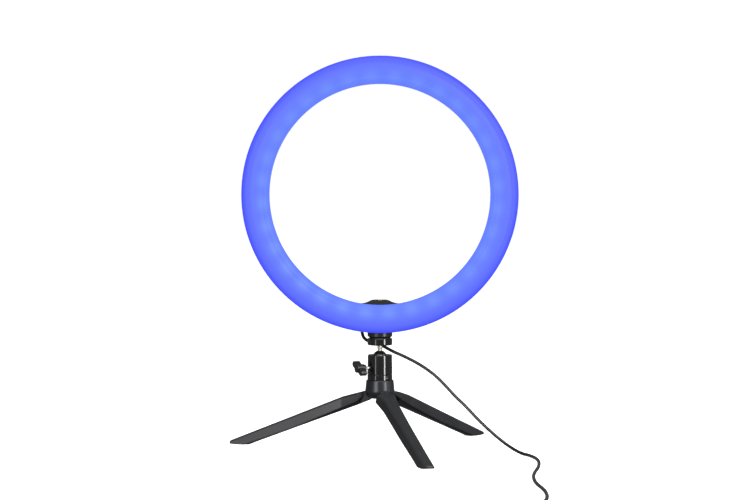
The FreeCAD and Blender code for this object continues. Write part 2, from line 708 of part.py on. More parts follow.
def make_ball_housing():
    """Turned barrel: spherical socket with a chamfered mouth, bored below, tapped across for the clamp."""
    throat_z = BALL_Z + math.sqrt(CUP_RADIUS ** 2 - MOUTH_THROAT ** 2)
    lean = math.radians(10)
    edges = [
        line(V(CUP_RADIUS, 0, HOUSING_BOTTOM), V(HOUSING_FOOT_RADIUS - SEAM, 0, HOUSING_BOTTOM)),
        line(V(HOUSING_FOOT_RADIUS - SEAM, 0, HOUSING_BOTTOM),
             V(HOUSING_FOOT_RADIUS, 0, HOUSING_BOTTOM + SEAM)),
        line(V(HOUSING_FOOT_RADIUS, 0, HOUSING_BOTTOM + SEAM), V(HOUSING_RADIUS, 0, HOUSING_TOP - 0.5)),
        line(V(HOUSING_RADIUS, 0, HOUSING_TOP - 0.5), V(HOUSING_RADIUS - 0.5, 0, HOUSING_TOP)),
        line(V(HOUSING_RADIUS - 0.5, 0, HOUSING_TOP), V(MOUTH_RADIUS, 0, HOUSING_TOP)),
        line(V(MOUTH_RADIUS, 0, HOUSING_TOP), V(MOUTH_THROAT, 0, throat_z)),
        arc(V(MOUTH_THROAT, 0, throat_z), V(CUP_RADIUS * math.cos(lean), 0,
                                            BALL_Z + CUP_RADIUS * math.sin(lean)),
            V(CUP_RADIUS, 0, BALL_Z)),
        line(V(CUP_RADIUS, 0, BALL_Z), V(CUP_RADIUS, 0, HOUSING_BOTTOM)),
    ]
    housing = Part.Face(Part.Wire(edges)).revolve(V(), UP, 360)
    housing = housing.cut(rod(WEDGE_POCKET, clamp_point(0), clamp_point(WEDGE_POCKET_END)))
    return housing.cut(rod(CLAMP_SCREW_HOLE, clamp_point(0), clamp_point(HOUSING_FOOT_RADIUS + 2)))


def make_housing_base():
    """Threaded foot of the ball head, with a spigot in the barrel and a hole for the grub screw."""
    base = turned([(0, HUB_TOP), (HOUSING_FOOT_RADIUS - SEAM, HUB_TOP),
                   (HOUSING_FOOT_RADIUS, HUB_TOP + SEAM),
                   (HOUSING_FOOT_RADIUS, HOUSING_BOTTOM - SEAM), (HOUSING_FOOT_RADIUS - SEAM,
                                                                  HOUSING_BOTTOM),
                   (CUP_RADIUS - 0.02, HOUSING_BOTTOM), (CUP_RADIUS - 0.02, SPIGOT_TOP), (0, SPIGOT_TOP)])
    base = base.cut(rod(STUD_RADIUS, V(0, 0, HUB_TOP - 1), V(0, 0, TRIPOD_STUD_TOP)))
    return base.cut(grub_bar(HOUSING_FOOT_RADIUS + 1))


def grub_bar(outer):
    """Round bar from the grub screw's inner end out to a radius."""
    azimuth = math.radians(GRUB_AZIMUTH)
    out = V(math.cos(azimuth), math.sin(azimuth), 0)
    start = HOUSING_FOOT_RADIUS - 0.4 - GRUB_LENGTH
    return rod(GRUB_RADIUS, out * start + UP * GRUB_Z, out * outer + UP * GRUB_Z)


def make_grub_screw():
    """Headless set screw, just below the surface, with a hexagonal socket."""
    azimuth = math.radians(GRUB_AZIMUTH)
    out = V(math.cos(azimuth), math.sin(azimuth), 0)
    side = V(-out.y, out.x, 0)
    face = HOUSING_FOOT_RADIUS - 0.4
    corners = []
    for k in range(6):
        angle = math.radians(60 * k)
        corners.append(out * face + side * (0.65 * math.cos(angle)) + UP * (GRUB_Z + 0.65 * math.sin(angle)))
    return grub_bar(face).cut(polygon(corners).extrude(out * -1.2))


def make_clamp_wedge():
    """Plunger under the ball seat, with a cone at its nose."""
    out = (clamp_point(1) - clamp_point(0)).normalize()
    cone = Part.makeCone(0.7, WEDGE_RADIUS, WEDGE_CONE_END - WEDGE_START, clamp_point(WEDGE_START), out)
    return cone.fuse(rod(WEDGE_RADIUS, clamp_point(WEDGE_CONE_END), clamp_point(WEDGE_END))).removeSplitter()


def make_clamp_screw():
    """Steel thread that pushes the plunger."""
    return rod(CLAMP_SCREW_RADIUS, clamp_point(CLAMP_SCREW_START), clamp_point(KNOB_END - 1.5))


def make_clamp_knob():
    """Wing knob: a hub with two rounded lobes, waisted beside the hub."""
    out = (clamp_point(1) - clamp_point(0)).normalize()
    knob = rod(KNOB_HUB - 0.6, clamp_point(KNOB_START), clamp_point(WING_START + 0.5))
    knob = knob.fuse(rod(KNOB_HUB, clamp_point(WING_START - 1.2), clamp_point(KNOB_END)))
    for side in (-1, 1):
        centre = clamp_point(WING_START, WING_TURN, side * WING_HALF)
        lobe = rod(WING_ROUND, centre, centre + out * (WING_END - WING_START))
        knob = knob.fuse(lobe)
    across = clamp_point(WING_START, WING_TURN + 90, 1.0) - clamp_point(WING_START)
    corners = []
    for reach, half in ((-WING_HALF, WING_ROUND), (0, 2.4), (WING_HALF, WING_ROUND),
                        (WING_HALF, -WING_ROUND), (0, -2.4), (-WING_HALF, -WING_ROUND)):
        corners.append(clamp_point(WING_START, WING_TURN, reach) + across * half)
    knob = knob.fuse(polygon(corners).extrude(out * (WING_END - WING_START))).removeSplitter()
    knob = knob.cut(rod(CLAMP_SCREW_RADIUS, clamp_point(KNOB_START - 1), clamp_point(KNOB_END - 1.5)))
    return knob


# ---------------------------------------------------------------- tripod
def hub_outside():
    """Outer form of hub and cap together: a drum that swells to a waist above a shallow bowl."""
    edges = [
        line(V(0, 0, HUB_TOP), V(HUB_TOP_RADIUS - 0.5, 0, HUB_TOP)),
        line(V(HUB_TOP_RADIUS - 0.5, 0, HUB_TOP), V(HUB_TOP_RADIUS, 0, HUB_TOP - 0.5)),
        line(V(HUB_TOP_RADIUS, 0, HUB_TOP - 0.5), V(HUB_WAIST_RADIUS, 0, HUB_WAIST_Z)),
        arc(V(HUB_WAIST_RADIUS, 0, HUB_WAIST_Z), V(12.3, 0, 49.8), V(HUB_FLAT, 0, HUB_BOTTOM)),
        line(V(HUB_FLAT, 0, HUB_BOTTOM), V(0, 0, HUB_BOTTOM)),
        line(V(0, 0, HUB_BOTTOM), V(0, 0, HUB_TOP)),
    ]
    return Part.Face(Part.Wire(edges)).revolve(V(), UP, 360)


def at_azimuth(shape, azimuth):
    """Turn a copy of a shape drawn along +X to an azimuth."""
    copy = shape.copy()
    copy.rotate(V(), UP, azimuth)
    return copy


def leg_slot():
    """Room for one leg's tongue from open to folded."""
    side = V(0, SLOT_HALF, 0)
    slot = box((SLOT_REACH, -SLOT_HALF, HUB_BOTTOM - 5), (PIVOT_R, SLOT_HALF, PIVOT_Z))
    slot = slot.fuse(box((PIVOT_R, -SLOT_HALF, HUB_BOTTOM - 5),
                         (HUB_WAIST_RADIUS + 5, SLOT_HALF, SLOT_ROOF)))
    return slot.fuse(rod(KNUCKLE_CLEAR, V(PIVOT_R, 0, PIVOT_Z) - side, V(PIVOT_R, 0, PIVOT_Z) + side))


def pin_bar():
    """One leg pin, along Y through the pivot."""
    return rod(PIN_RADIUS, V(PIVOT_R, -PIN_HALF, PIVOT_Z), V(PIVOT_R, PIN_HALF, PIVOT_Z))


def cap_screw_seat(azimuth):
    """Seat of a cap screw, between two legs."""
    angle = math.radians(azimuth + 60)
    return V(CAP_SCREW_R * math.cos(angle), CAP_SCREW_R * math.sin(angle), CAP_SCREW_SEAT)


def make_hub_halves():
    """Hub and cap, parted at the pins' height, slotted for the legs and drilled for pins and screws."""
    whole = hub_outside()
    for azimuth in LEG_AZIMUTHS.values():
        whole = whole.cut(at_azimuth(leg_slot(), azimuth))
        whole = whole.cut(at_azimuth(pin_bar(), azimuth))
        seat = cap_screw_seat(azimuth)
        whole = whole.cut(rod(HEAD_RADIUS + 0.2, seat, seat - UP * 10))
        whole = whole.cut(rod(THREAD_HOLE, seat - UP, seat + UP * 8))
    whole = whole.cut(rod(STUD_RADIUS, V(0, 0, TRIPOD_STUD_BOTTOM), V(0, 0, HUB_TOP + 1)))
    upper = whole.common(box((-20, -20, PIVOT_Z), (20, 20, HUB_TOP + 1)))
    lower = whole.common(box((-20, -20, HUB_BOTTOM - 1), (20, 20, PIVOT_Z)))
    return upper, lower


def make_leg_pins():
    """Three steel pins."""
    return group([at_azimuth(pin_bar(), azimuth) for azimuth in LEG_AZIMUTHS.values()])


def make_cap_screws():
    """Three screws from below, between the legs."""
    return group([pan_screw(cap_screw_seat(azimuth), -UP, 7.0) for azimuth in LEG_AZIMUTHS.values()])


def leg_top(r):
    """Height of the leg's top line."""
    if r < KINK_R:
        return NOSE_Z + (KINK_Z - NOSE_Z) * (r - NOSE_R) / (KINK_R - NOSE_R)
    return KINK_Z + (TIP_Z - KINK_Z) * (r - KINK_R) / (TIP_R - KINK_R)


def leg_bottom(r):
    """Height of the leg's bottom line, which meets the floor at the heel."""
    return SHOULDER_Z * (HEEL_R - r) / (HEEL_R - SHOULDER_R)


def leg_section(r, half):
    """Closed outline across the leg at one station, mirrored from the (y, z) points of its right half."""
    left = [V(r, -y, z) for y, z in reversed(half) if y > 0]
    points = [V(r, y, z) for y, z in half] + left
    return Part.makePolygon(points + [points[0]])


def leg_outside():
    """Outer form of a leg's cover: a creased top with rounded edges, and drafted flanks that end in lips."""
    wires = []
    for r, side, lip_half, drop in LEG_STATIONS:
        top = leg_top(r)
        half = [(0, top + CREASE_RISE), (side - EDGE_INSET, top), (side, top - EDGE_DROP),
                (lip_half, top - drop), (lip_half, top - drop - LIP_THICK)]
        wires.append(leg_section(r, half))
    return Part.makeLoft(wires, True, True)


def leg_core_bar():
    """Inner spine of a leg: fills the cover and stands out below it, narrower at the bottom."""
    wires = []
    for r, side, lip_half, drop in LEG_STATIONS[1:]:
        top = leg_top(r)
        half = [(0, top - CORE_CROWN), (side - CORE_CROWN_INSET, top - CORE_CROWN),
                (lip_half - LIP_OVERHANG, top - drop), (lip_half - LIP_OVERHANG, top - drop - LIP_THICK),
                (CORE_BOTTOM_HALF, leg_bottom(r))]
        wires.append(leg_section(r, half))
    return Part.makeLoft(wires, True, True)


def leg_tongue():
    """Narrow root of a leg with the knuckle round its pin."""
    side = V(0, TONGUE_HALF, 0)
    outline = [(PIVOT_R, PIVOT_Z + KNUCKLE_RADIUS), (12.6, 54.9), (NOSE_R, NOSE_Z - 1.0), (24.0, 48.0),
               (24.0, 41.5),
               (SHOULDER_R, SHOULDER_Z), (10.0, 45.5), (5.2, 49.0)]
    plate = polygon([V(r, -TONGUE_HALF, z) for r, z in outline]).extrude(side * 2)
    return plate.fuse(rod(KNUCKLE_RADIUS, V(PIVOT_R, 0, PIVOT_Z) - side, V(PIVOT_R, 0, PIVOT_Z) + side))


def foot_room():
    """Room that a leg may fill, ending in the toe's bevel and in a tip rounded both ways."""
    far = 40.0
    root = TIP_R - TIP_ROUND
    upper = leg_top(root)
    side = [
        line(V(0, 0, 0), V(TOE_R, 0, 0)),
        line(V(TOE_R, 0, 0), V(root, 0, TIP_SOLE)),
        arc(V(root, 0, TIP_SOLE), V(TIP_R, 0, (upper + TIP_SOLE) / 2), V(root, 0, upper)),
        line(V(root, 0, upper), V(root, 0, far * 2)),
        line(V(root, 0, far * 2), V(0, 0, far * 2)),
        line(V(0, 0, far * 2), V(0, 0, 0)),
    ]
    profile = Part.Face(Part.Wire(side))
    profile.translate(V(0, -far, 0))
    lip_half = LEG_STATIONS[-1][2]
    plan = [
        arc(V(TIP_R - TIP_CROWN, -lip_half, 0), V(TIP_R, 0, 0), V(TIP_R - TIP_CROWN, lip_half, 0)),
        line(V(TIP_R - TIP_CROWN, lip_half, 0), V(TIP_R - far, far, 0)),
        line(V(TIP_R - far, far, 0), V(0, far, 0)),
        line(V(0, far, 0), V(0, -far, 0)),
        line(V(0, -far, 0), V(TIP_R - far, -far, 0)),
        line(V(TIP_R - far, -far, 0), V(TIP_R - TIP_CROWN, -lip_half, 0)),
    ]
    outline = Part.Face(Part.Wire(plan))
    return profile.extrude(V(0, far * 2, 0)).common(outline.extrude(UP * (far * 2)))


def make_leg_parts():
    """Cover and core of one leg, drawn along +X."""
    core = leg_core_bar().fuse(leg_tongue()).common(foot_room())
    core = core.cut(rod(PIN_HOLE, V(PIVOT_R, -10, PIVOT_Z), V(PIVOT_R, 10, PIVOT_Z)))
    cover = leg_outside().common(foot_room()).cut(leg_core_bar()).cut(leg_tongue())
    return cover, core.removeSplitter()


# ---------------------------------------------------------------- cord
def cord_path(route):
    """Straight runs joined by tangent arcs as large as the runs allow; gives the edges and the radii."""
    points = [V(*p) for p in route]
    edges = []
    radii = []
    start = points[0]
    for before, corner, after in zip(points, points[1:], points[2:]):
        into = (corner - before).normalize()
        away = (after - corner).normalize()
        turn = into.getAngle(away)
        reach = 0.45 * min((corner - before).Length, (after - corner).Length)
        radius = reach / math.tan(turn / 2)
        inward = (away - into).normalize()
        middle = corner + inward * (radius / math.cos(turn / 2) - radius)
        edges.append(line(start, corner - into * reach))
        edges.append(arc(corner - into * reach, middle, corner + away * reach))
        start = corner + away * reach
        radii.append(radius)
    edges.append(line(start, points[-1]))
    return edges, radii


def cord_tube(name, route):
    """One stretch of the cord. Prints its length, its tightest arc and how true its volume is."""
    edges, radii = cord_path(route)
    wire = Part.Wire(edges)
    way = V(*route[1]) - V(*route[0])
    section = Part.Wire(Part.makeCircle(CORD_RADIUS, V(*route[0]), way))
    tube = wire.makePipeShell([section], True, False)
    ratio = tube.Volume / (math.pi * CORD_RADIUS ** 2 * wire.Length)
    print(name, "length", round(wire.Length, 1), "radii", [round(r, 1) for r in radii], "volume ratio",
          round(ratio, 4))
    return tube


def make_coil():
    """Outer form of the coil: a ring with softened edges, lying on the floor."""
    c = COIL_EDGE
    section = [(COIL_INNER, COIL_LOW + c), (COIL_INNER + c, COIL_LOW), (COIL_OUTER - c, COIL_LOW),
               (COIL_OUTER, COIL_LOW + c), (COIL_OUTER, COIL_HIGH - c), (COIL_OUTER - c, COIL_HIGH),
               (COIL_INNER + c, COIL_HIGH), (COIL_INNER, COIL_HIGH - c)]
    coil = turned(section)
    coil.translate(V(COIL_X, COIL_Y, 0))
    return coil


def make_coil_tie():
    """Band round the coil's turns at one place."""
    low = COIL_LOW - TIE_THICK
    outer = box((COIL_INNER - TIE_THICK, -TIE_WIDTH / 2, low),
                (COIL_OUTER + TIE_THICK, TIE_WIDTH / 2, COIL_HIGH + TIE_THICK))
    outer = outer.makeFillet(2.0, [e for e in outer.Edges if e.BoundBox.YLength > TIE_WIDTH - 0.1])
    tie = at_azimuth(outer, TIE_AZIMUTH)
    tie.translate(V(COIL_X, COIL_Y, 0))
    return tie.cut(make_coil())


# ---------------------------------------------------------------- inline controller
def control_outside():
    """Outer form of the controller, with rounded upright edges and a softened top."""
    body = box((CONTROL_LEFT, CONTROL_Y - CONTROL_HALF_WIDTH, 0),
               (CONTROL_RIGHT, CONTROL_Y + CONTROL_HALF_WIDTH, CONTROL_HEIGHT))
    body = body.makeFillet(5.0, [e for e in body.Edges if e.BoundBox.ZLength > CONTROL_HEIGHT - 0.1])
    return body.makeFillet(CONTROL_ROUND, [e for e in body.Edges if e.BoundBox.ZMin > CONTROL_HEIGHT - 0.1])


def make_controller_shells():
    """Base and top of the controller, parted at mid height, hollow, with slots for the buttons."""
    wall = CONTROL_WALL
    hollow = box((CONTROL_LEFT + wall, CONTROL_Y - CONTROL_HALF_WIDTH + wall, wall),
                 (CONTROL_RIGHT - wall, CONTROL_Y + CONTROL_HALF_WIDTH - wall, CONTROL_HEIGHT - wall))
    upright = CONTROL_HEIGHT - 2 * wall - 0.1
    hollow = hollow.makeFillet(3.6, [e for e in hollow.Edges if e.BoundBox.ZLength > upright])
    shell = control_outside().cut(hollow)
    for x in (CONTROL_LEFT + 7.0, CONTROL_RIGHT - 7.0):
        shell = shell.fuse(rod(CONTROL_POST, V(x, CONTROL_Y, 1.0), V(x, CONTROL_Y, CONTROL_HEIGHT - 1.0)))
        shell = shell.cut(rod(HEAD_RADIUS + 0.2, V(x, CONTROL_Y, -1), V(x, CONTROL_Y, 1.8)))
        shell = shell.cut(rod(THREAD_HOLE, V(x, CONTROL_Y, 1.0), V(x, CONTROL_Y, 9.0)))
    for x in (CONTROL_LEFT, CONTROL_RIGHT):
        shell = shell.cut(rod(2.3, V(x - 3, CONTROL_Y, CONTROL_SPLIT), V(x + 3, CONTROL_Y, CONTROL_SPLIT)))
    for x in BUTTONS.values():
        shell = shell.cut(box((x - BUTTON_HALF_X - BUTTON_GAP, CONTROL_Y - BUTTON_HALF_Y - BUTTON_GAP, 8.0),
                              (x + BUTTON_HALF_X + BUTTON_GAP, CONTROL_Y + BUTTON_HALF_Y + BUTTON_GAP,
                               13.0)))
    far = 200.0
    base = shell.common(box((-far, -600, -1), (far, -300, CONTROL_SPLIT)))
    top = shell.common(box((-far, -600, CONTROL_SPLIT), (far, -300, CONTROL_HEIGHT + 1)))
    return base, top


def make_controller_board():
    """Board inside the controller, cut round the screw posts."""
    board = box((CONTROL_LEFT + 3.0, CONTROL_Y - 8.0, CONTROL_BOARD_Z),
                (CONTROL_RIGHT - 3.0, CONTROL_Y + 8.0, CONTROL_BOARD_Z + CONTROL_BOARD_THICK))
    for x in (CONTROL_LEFT + 7.0, CONTROL_RIGHT - 7.0):
        board = board.cut(rod(CONTROL_POST + 0.3, V(x, CONTROL_Y, 0), V(x, CONTROL_Y, 10)))
    for x in (CONTROL_LEFT, CONTROL_RIGHT):
        board = board.cut(box((x - 4.5, CONTROL_Y - 3, 0), (x + 4.5, CONTROL_Y + 3, 10)))
    return board


def make_controller_switches():
    """Four tact switches under the buttons."""
    foot = CONTROL_BOARD_Z + CONTROL_BOARD_THICK
    switches = []
    for x in BUTTONS.values():
        can = box((x - SWITCH_HALF, CONTROL_Y - SWITCH_HALF, foot),
                  (x + SWITCH_HALF, CONTROL_Y + SWITCH_HALF, SWITCH_TOP))
        switches.append(can.fuse(rod(1.1, V(x, CONTROL_Y, SWITCH_TOP - 0.5), V(x, CONTROL_Y, PLUNGER_TOP))))
    return group(switches)


def make_button(x):
    """Rounded key with a thin flange inside the top shell and a short stem above its switch."""
    key = box((x - BUTTON_HALF_X, CONTROL_Y - BUTTON_HALF_Y, BUTTON_SKIRT),
              (x + BUTTON_HALF_X, CONTROL_Y + BUTTON_HALF_Y, BUTTON_TOP))
    key = key.makeFillet(0.7, [e for e in key.Edges if e.BoundBox.ZMin > BUTTON_TOP - 0.1])
    flange = box((x - BUTTON_HALF_X - BUTTON_FLANGE, CONTROL_Y - BUTTON_HALF_Y - BUTTON_FLANGE,
                  BUTTON_SKIRT - 0.6),
                 (x + BUTTON_HALF_X + BUTTON_FLANGE, CONTROL_Y + BUTTON_HALF_Y + BUTTON_FLANGE,
                  BUTTON_SKIRT + 0.2))
    stem = rod(BUTTON_STEM, V(x, CONTROL_Y, PLUNGER_TOP + BUTTON_TRAVEL_GAP), V(x, CONTROL_Y, BUTTON_SKIRT))
    return key.fuse(flange).fuse(stem).removeSplitter()


def make_controller_screws():
    """Two screws from below."""
    seats = [V(x, CONTROL_Y, 1.8) for x in (CONTROL_LEFT + 7.0, CONTROL_RIGHT - 7.0)]
    return group([pan_screw(seat, -UP, 6.5) for seat in seats])


def make_controller_bushes():
    """Tapered bushes where the cord enters and leaves the controller."""
    bushes = []
    for x, way in ((CONTROL_RIGHT, 1), (CONTROL_LEFT, -1)):
        root = V(x - 2.5 * way, CONTROL_Y, CONTROL_SPLIT)
        face = V(x, CONTROL_Y, CONTROL_SPLIT)
        bush = rod(2.3, root, face)
        bush = bush.fuse(Part.makeCone(3.0, 2.0, BUSH_LENGTH, face, V(way, 0, 0)))
        bushes.append(bush)
    return group(bushes)


# ---------------------------------------------------------------- USB plug
def make_usb_grip():
    """Moulded grip of the plug, lying flat on the floor, with a tapered nose for the cord."""
    left = GRIP_RIGHT - GRIP_LENGTH
    grip = box((left, USB_Y - GRIP_HALF_WIDTH, 0), (GRIP_RIGHT - 4.0, USB_Y + GRIP_HALF_WIDTH, GRIP_HEIGHT))
    grip = grip.makeFillet(1.6, [e for e in grip.Edges if e.BoundBox.XLength > GRIP_LENGTH - 5])
    nose = Part.makeCone(3.4, 2.2, 4.0, V(GRIP_RIGHT - 4.0, USB_Y, USB_Z), V(1, 0, 0))
    grip = grip.fuse(nose)
    socket = box((left - 1, USB_Y - USB_HALF_WIDTH, USB_Z - USB_HALF_HEIGHT),
                 (left + 4, USB_Y + USB_HALF_WIDTH, USB_Z + USB_HALF_HEIGHT))
    return grip.cut(socket)


def make_usb_shell():
    """Folded metal shell of the plug with the two square catches in each broad face."""
    root = GRIP_RIGHT - GRIP_LENGTH + 4
    tip = GRIP_RIGHT - GRIP_LENGTH - USB_LENGTH
    shell = box((tip, USB_Y - USB_HALF_WIDTH, USB_Z - USB_HALF_HEIGHT),
                (root, USB_Y + USB_HALF_WIDTH, USB_Z + USB_HALF_HEIGHT))
    inner = box((tip - 1, USB_Y - USB_HALF_WIDTH + USB_SKIN, USB_Z - USB_HALF_HEIGHT + USB_SKIN),
                (root - USB_SKIN, USB_Y + USB_HALF_WIDTH - USB_SKIN, USB_Z + USB_HALF_HEIGHT - USB_SKIN))
    shell = shell.cut(inner)
    for side in (-1, 1):
        shell = shell.cut(box((tip + 5.0, USB_Y + side * 2.9 - 1.1, -1),
                              (tip + 7.4, USB_Y + side * 2.9 + 1.1, 12)))
    return shell


def usb_tongue_low():
    """Underside of the plug's tongue."""
    return USB_Z + 0.1


def make_usb_tongue():
    """Insulating tongue inside the shell, in its upper half."""
    tip = GRIP_RIGHT - GRIP_LENGTH - USB_LENGTH
    return box((tip + 0.6, USB_Y - 5.5, usb_tongue_low()),
               (GRIP_RIGHT - GRIP_LENGTH + 3.5, USB_Y + 5.5, USB_Z + USB_HALF_HEIGHT - USB_SKIN))


def make_usb_contacts():
    """Four gold-plated strips under the tongue."""
    tip = GRIP_RIGHT - GRIP_LENGTH - USB_LENGTH
    strips = []
    for offset in (-3.5, -1.0, 1.0, 3.5):
        strips.append(box((tip + 1.6, USB_Y + offset - 0.5, usb_tongue_low() - 0.25),
                          (tip + 9.0, USB_Y + offset + 0.5, usb_tongue_low())))
    return group(strips)


# ---------------------------------------------------------------- write every node
def save_light_head():
    save("diffuser", make_diffuser())
    save("rear_shell", make_rear_shell())
    save("led_board", make_led_board())
    save("leds", make_leds())
    save("shell_screws", make_shell_screws())
    save("mount_block", make_mount_block())
    save("block_cover", make_block_cover())
    save("cover_screws", make_cover_screws())
    save("block_screws", make_block_screws())
    tripod_base = V(0, 0, BOSS_BOTTOM)
    save("tripod_insert", make_insert(TRIPOD_INSERT_RADIUS, tripod_base, TRIPOD_INSERT_LENGTH, STUD_HOLE))
    phone_base = V(0, PHONE_INSERT_Y, BELL_TOP + PHONE_INSERT_PROUD - PHONE_INSERT_LENGTH)
    save("phone_insert", make_insert(PHONE_INSERT_RADIUS, phone_base, PHONE_INSERT_LENGTH,
                                     PHONE_THREAD_RADIUS))
    save("driver_board", make_driver_board())
    save("led_leads", make_led_leads())
    save("cord_relief", make_cord_relief())


def save_ball_head():
    save("platform", make_platform())
    save("platform_pad", make_platform_pad())
    save("ball_stem", make_ball_stem())
    save("ball", make_ball())
    save("ball_seat", make_ball_seat())
    save("ball_housing", make_ball_housing())
    save("housing_base", make_housing_base())
    save("grub_screw", make_grub_screw())
    save("clamp_wedge", make_clamp_wedge())
    save("clamp_screw", make_clamp_screw())
    save("clamp_knob", make_clamp_knob())


def save_tripod():
    upper, lower = make_hub_halves()
    save("hub", upper)
    save("hub_cap", lower)
    save("tripod_stud", rod(STUD_RADIUS, V(0, 0, TRIPOD_STUD_BOTTOM), V(0, 0, TRIPOD_STUD_TOP)))
    save("leg_pins", make_leg_pins())
    save("cap_screws", make_cap_screws())
    cover, core = make_leg_parts()
    for name, azimuth in LEG_AZIMUTHS.items():
        save("leg_cover_" + name, at_azimuth(cover, azimuth))
        save("leg_core_" + name, at_azimuth(core, azimuth))


def save_cord():
    save("cord_drop", cord_tube("cord_drop", DROP_ROUTE))
    save("cord_floor", cord_tube("cord_floor", FLOOR_ROUTE))
    save("cord_lead", cord_tube("cord_lead", LEAD_ROUTE))
    save("cord_tail", cord_tube("cord_tail", TAIL_ROUTE))
    save("cord_coil", make_coil())
    save("coil_tie", make_coil_tie())


def save_controller():
    base, top = make_controller_shells()
    save("controller_base", base)
    save("controller_top", top)
    save("controller_board", make_controller_board())
    save("controller_switches", make_controller_switches())
    save("controller_screws", make_controller_screws())
    save("controller_bushes", make_controller_bushes())
    for name, x in BUTTONS.items():
        save(name, make_button(x))


def save_usb():
    save("usb_grip", make_usb_grip())
    save("usb_shell", make_usb_shell())
    save("usb_tongue", make_usb_tongue())
    save("usb_contacts", make_usb_contacts())


os.makedirs("parts", exist_ok=True)
save_light_head()
save_ball_head()
save_tripod()
save_cord()
save_controller()
save_usb()
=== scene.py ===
"""Looks of the ring light: materials, the cord, the light and the camera. All in metres."""
import json
import math
import bpy
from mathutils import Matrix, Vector


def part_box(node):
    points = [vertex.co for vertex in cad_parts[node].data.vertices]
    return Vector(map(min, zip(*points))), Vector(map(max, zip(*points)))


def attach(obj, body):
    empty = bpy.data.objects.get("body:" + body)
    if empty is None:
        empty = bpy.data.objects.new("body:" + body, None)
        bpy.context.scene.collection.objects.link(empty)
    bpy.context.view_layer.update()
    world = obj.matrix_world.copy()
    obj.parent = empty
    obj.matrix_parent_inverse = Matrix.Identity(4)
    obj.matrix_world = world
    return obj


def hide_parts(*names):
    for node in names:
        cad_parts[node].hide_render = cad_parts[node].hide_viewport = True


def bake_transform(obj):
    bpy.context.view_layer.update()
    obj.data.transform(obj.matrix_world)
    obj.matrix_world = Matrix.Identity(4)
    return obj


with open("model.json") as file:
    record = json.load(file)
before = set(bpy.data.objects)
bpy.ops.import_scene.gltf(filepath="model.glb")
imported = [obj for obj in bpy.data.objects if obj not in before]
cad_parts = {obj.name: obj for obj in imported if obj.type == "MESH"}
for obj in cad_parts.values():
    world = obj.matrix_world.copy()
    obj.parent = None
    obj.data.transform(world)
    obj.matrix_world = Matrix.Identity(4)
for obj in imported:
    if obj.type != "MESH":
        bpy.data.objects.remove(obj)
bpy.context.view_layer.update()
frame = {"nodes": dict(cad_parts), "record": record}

# ---------------------------------------------------------------- ring, from its diffuser
RING_LOW, RING_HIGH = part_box("diffuser")
RING_Z = (RING_LOW.z + RING_HIGH.z) / 2
RING_OUTER = (RING_HIGH.x - RING_LOW.x) / 2
RING_INNER = 0.1037

# ---------------------------------------------------------------- light through the diffuser
LAMP_COUNT = 32
LAMP_FIRST = math.radians(4.25)
SPOT_RADIUS = 0.1105
SPOT_WIDTH = 0.0055
SPOT_COLOUR = (117, 149, 253)
SPOT_WEAKEST = 0.42
SPOT_EXTRA = 0.36
SPOT_STRONGEST_AT = math.radians(-118.0)
GLOW_INNER_TO_OUTER = (
    (0.00, (100, 126, 250)),
    (0.25, (102, 128, 251)),
    (0.50, (100, 121, 251)),
    (0.72, (95, 110, 251)),
    (0.85, (85, 98, 250)),
    (0.94, (73, 86, 250)),
    (1.00, (60, 72, 249)),
)

# ---------------------------------------------------------------- middle of a noise texture's values
NOISE_LOW = 0.3
NOISE_HIGH = 0.7

# ---------------------------------------------------------------- camera and surroundings
CAMERA_PLACE = (-0.005, -1.73548, 0.22895)
CAMERA_AIM = (-0.00463, 0.0, 0.18776)
CAMERA_LENS_MM = 88.17
CAMERA_SENSOR_MM = 36.0
BACKDROP_STRENGTH = 1.02
FILL_STRENGTH = 0.16
LIGHT_AIM = (0.0, 0.0, 0.09)

# Name, azimuth, distance, height, width, tallness, power
LIGHTS = (
    ("softbox_right", 45, 1.25, 0.30, 0.24, 1.2, 11.0),
    ("softbox_left", -41, 1.25, 0.30, 0.16, 1.2, 2.0),
    ("softbox_low_left", -30, 1.25, 0.42, 0.35, 0.55, 6.5),
    ("softbox_high_right", 28, 1.05, 0.80, 0.45, 0.45, 8.0),
    ("softbox_far_right", 80, 1.3, 0.70, 0.5, 0.9, 7.0),
    ("top_light", -20, 0.45, 1.6, 1.2, 1.2, 14.0),
)

FLOOR_HALF = 12.0
FLOOR_GREY = 0.80
FLOOR_GLOW = (("From Min", 0.25), ("From Max", 0.7), ("To Min", 0.93), ("To Max", 1.02))


# ---------------------------------------------------------------- colour and node helpers
def linear(r, g, b):
    """Linear colour from 0-255 screen values."""
    def one(v):
        v = v / 255
        return v / 12.92 if v <= 0.04045 else ((v + 0.055) / 1.055) ** 2.4
    return (one(r), one(g), one(b), 1.0)


